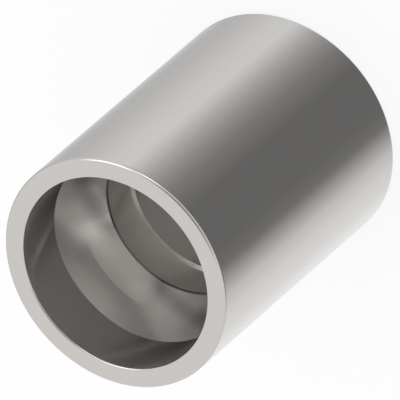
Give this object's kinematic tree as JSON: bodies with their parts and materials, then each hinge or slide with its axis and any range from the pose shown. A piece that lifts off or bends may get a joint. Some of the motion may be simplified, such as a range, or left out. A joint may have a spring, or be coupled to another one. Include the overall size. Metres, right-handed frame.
{
  "type": "crimp ferrule",
  "caption": "One-piece turned sleeve with a stepped, undercut and tapered bore that is crimped over a skived hydraulic hose and locks on a hose fitting's stem.",
  "frame": {"origin": "centre of the collar's end face, the face the ferrule stands on", "axes": "+Z along the sleeve's axis, from the collar end towards the open mouth that takes the hose"},
  "size_m": [0.024, 0.024, 0.032],
  "materials": {
    "steel": "fine-turned, satin to bright"
  },
  "bodies": {
    "root": {"ferrule": "steel"}
  },
  "joints": []
}
